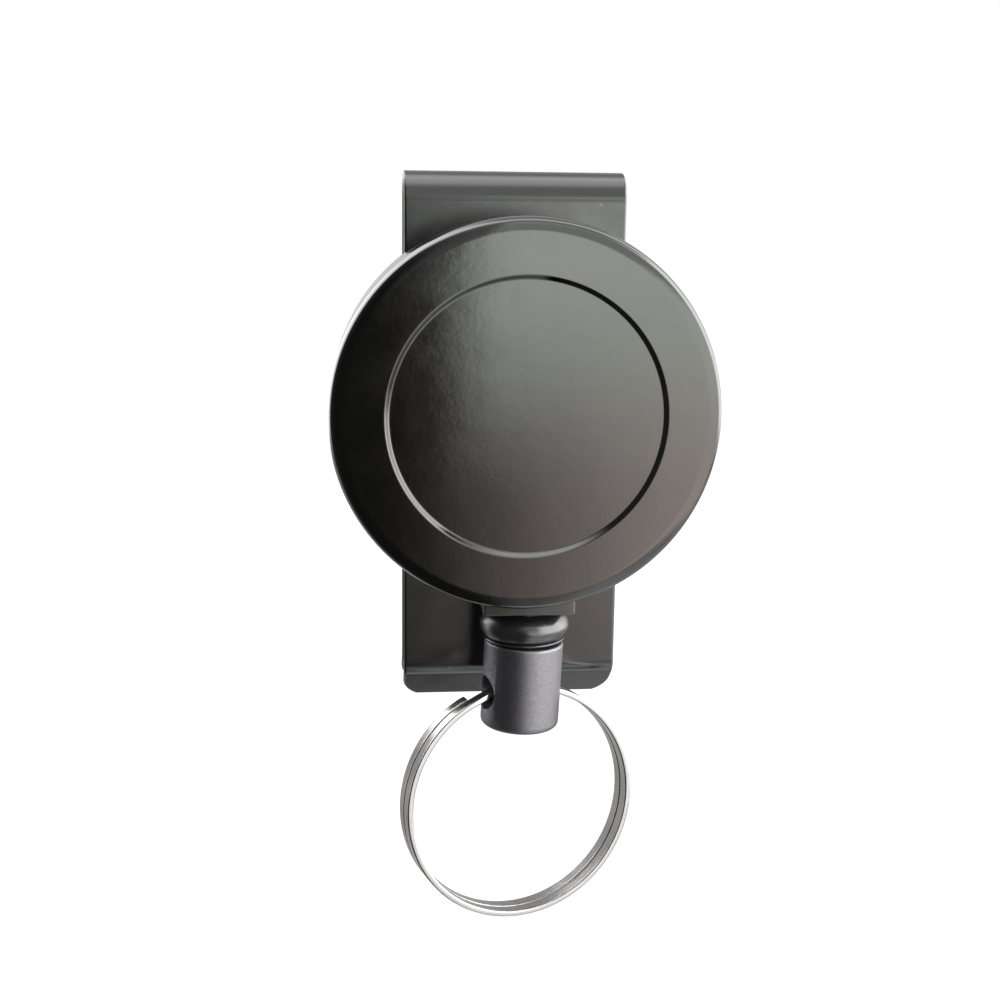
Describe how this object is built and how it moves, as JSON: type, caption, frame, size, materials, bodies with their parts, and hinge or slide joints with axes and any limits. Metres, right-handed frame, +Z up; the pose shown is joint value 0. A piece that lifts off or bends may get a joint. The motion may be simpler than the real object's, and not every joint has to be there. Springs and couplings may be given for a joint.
{
  "type": "retractable badge reel",
  "caption": "Round spring-wound reel on a folded steel belt clip, with a pull-out cord that ends in a bumper, a swivelling barrel and a split ring.",
  "frame": {"origin": "on the reel's axis, in the middle of the belt gap between the clip's two plates", "axes": "+X across the front, to the right as the face is seen, +Z up as worn, -Y the way the face looks"},
  "size_m": [0.0406, 0.0257, 0.0812],
  "materials": {
    "case_black": "satin black paint on a die-cast case",
    "clip_black": "satin black paint on spring steel",
    "bumper_black": "glossy moulded",
    "barrel_gunmetal": "satin gunmetal plating",
    "ring_steel": "polished nickel plate",
    "screw_steel": "bright zinc plate",
    "rivet_steel": "dark oiled steel",
    "spring_steel": "blued spring steel",
    "reel_plastic": "natural acetal",
    "brass": "turned",
    "cord_black": "braided nylon"
  },
  "bodies": {
    "case": {"front_cover": "case_black", "rear_housing": "case_black", "outlet_nozzle": "case_black", "cord_eyelet": "brass", "centre_post": "rivet_steel", "post_screw": "screw_steel", "retaining_ring": "spring_steel", "thrust_washer": "reel_plastic", "clip_plate": "clip_black", "clip_rivet_upper": "rivet_steel", "clip_rivet_lower": "rivet_steel", "case_screw_1": "screw_steel", "case_screw_2": "screw_steel", "case_screw_3": "screw_steel", "case_screw_4": "screw_steel"},
    "spool": {"spool": "reel_plastic", "spring_cover": "reel_plastic", "power_spring": "spring_steel", "cord_winding": "cord_black", "cord_stop": "brass"},
    "cord_end": {"cord_tail": "cord_black", "bumper": "bumper_black", "cord_ferrule": "brass"},
    "barrel": {"key_barrel": "barrel_gunmetal", "swivel_washer": "screw_steel"},
    "ring": {"split_ring": "ring_steel"},
    "leg": {"clip_leg": "clip_black"}
  },
  "joints": [
    {"name": "cord_pull", "type": "slide", "parent": "case", "child": "cord_end", "axis": [0, 0, -1], "range_m": [0, 0.6], "stiffness_N_per_m": 1.67, "springref_m": -0.6, "deforming": ["cord_tail"]},
    {"name": "spool_spin", "type": "hinge", "parent": "case", "child": "spool", "pos_m": [0, -0.0105, 0], "axis": [0, 1, 0], "range_deg": [0, 3110], "deforming": ["power_spring"]},
    {"name": "barrel_swivel", "type": "hinge", "parent": "cord_end", "child": "barrel", "pos_m": [0.00075, -0.0105, -0.0252], "axis": [0.0419, 0, 0.9991], "continuous": true},
    {"name": "ring_swing", "type": "hinge", "parent": "barrel", "child": "ring", "pos_m": [0.00051, -0.0105, -0.03104], "axis": [0.9651, 0.2588, -0.0404], "range_deg": [-15, 20]},
    {"name": "clip_flex", "type": "hinge", "parent": "case", "child": "leg", "pos_m": [0, 0.0027, 0.02145], "axis": [1, 0, 0], "range_deg": [0, 8], "stiffness_Nm_per_rad": 0.8}
  ],
  "couplings": [
    {"joint": "spool_spin", "follows": "cord_pull", "rad_per_m": 90.4}
  ]
}
